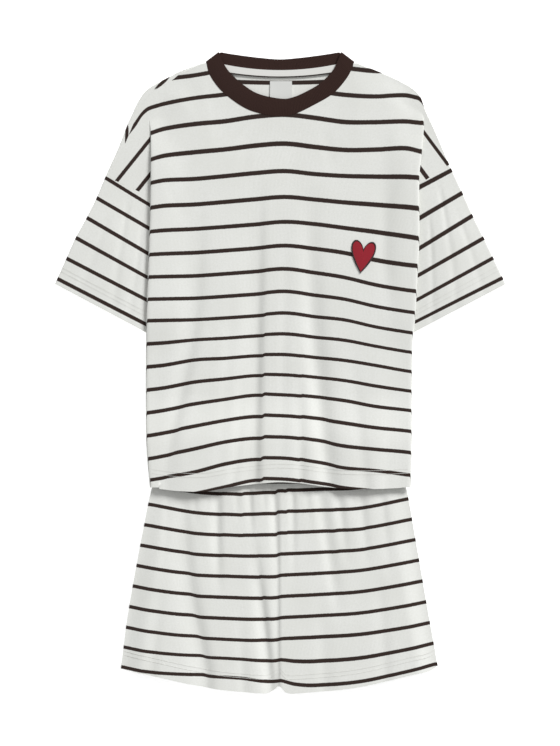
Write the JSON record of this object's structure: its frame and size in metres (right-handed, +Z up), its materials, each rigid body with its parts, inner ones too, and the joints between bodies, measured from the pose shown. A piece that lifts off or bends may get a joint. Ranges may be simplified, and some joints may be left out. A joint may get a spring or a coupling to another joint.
{
  "type": "pyjama set",
  "caption": "Pyjama set laid flat: a loose striped short-sleeved tee with a ribbed collar and a small heart, its hem over the waist of matching striped shorts.",
  "frame": {"origin": "centre of the bounding box of the whole set, on the surface that it lies on", "axes": "+Y from the shorts' hems to the collar, +Z up from the surface, +X to the right as seen from above"},
  "size_m": [0.7, 0.9946, 0.0147],
  "materials": {
    "jersey": "matt single jersey, off-white with thin dark brown stripes",
    "rib": "matt one-by-one rib, dark brown",
    "tape": "matt jersey tape",
    "label": "bare off-white woven label, slight sheen",
    "heart": "satin stitch, soft sheen"
  },
  "bodies": {
    "root": {"tee_front": "jersey", "tee_back": "jersey", "sleeve_left": "jersey", "sleeve_right": "jersey", "neck_rib": "rib", "neck_tape": "tape", "label": "label", "heart": "heart", "shorts_front_left": "jersey", "shorts_front_right": "jersey", "shorts_back_left": "jersey", "shorts_back_right": "jersey", "waistband": "jersey"}
  },
  "joints": []
}
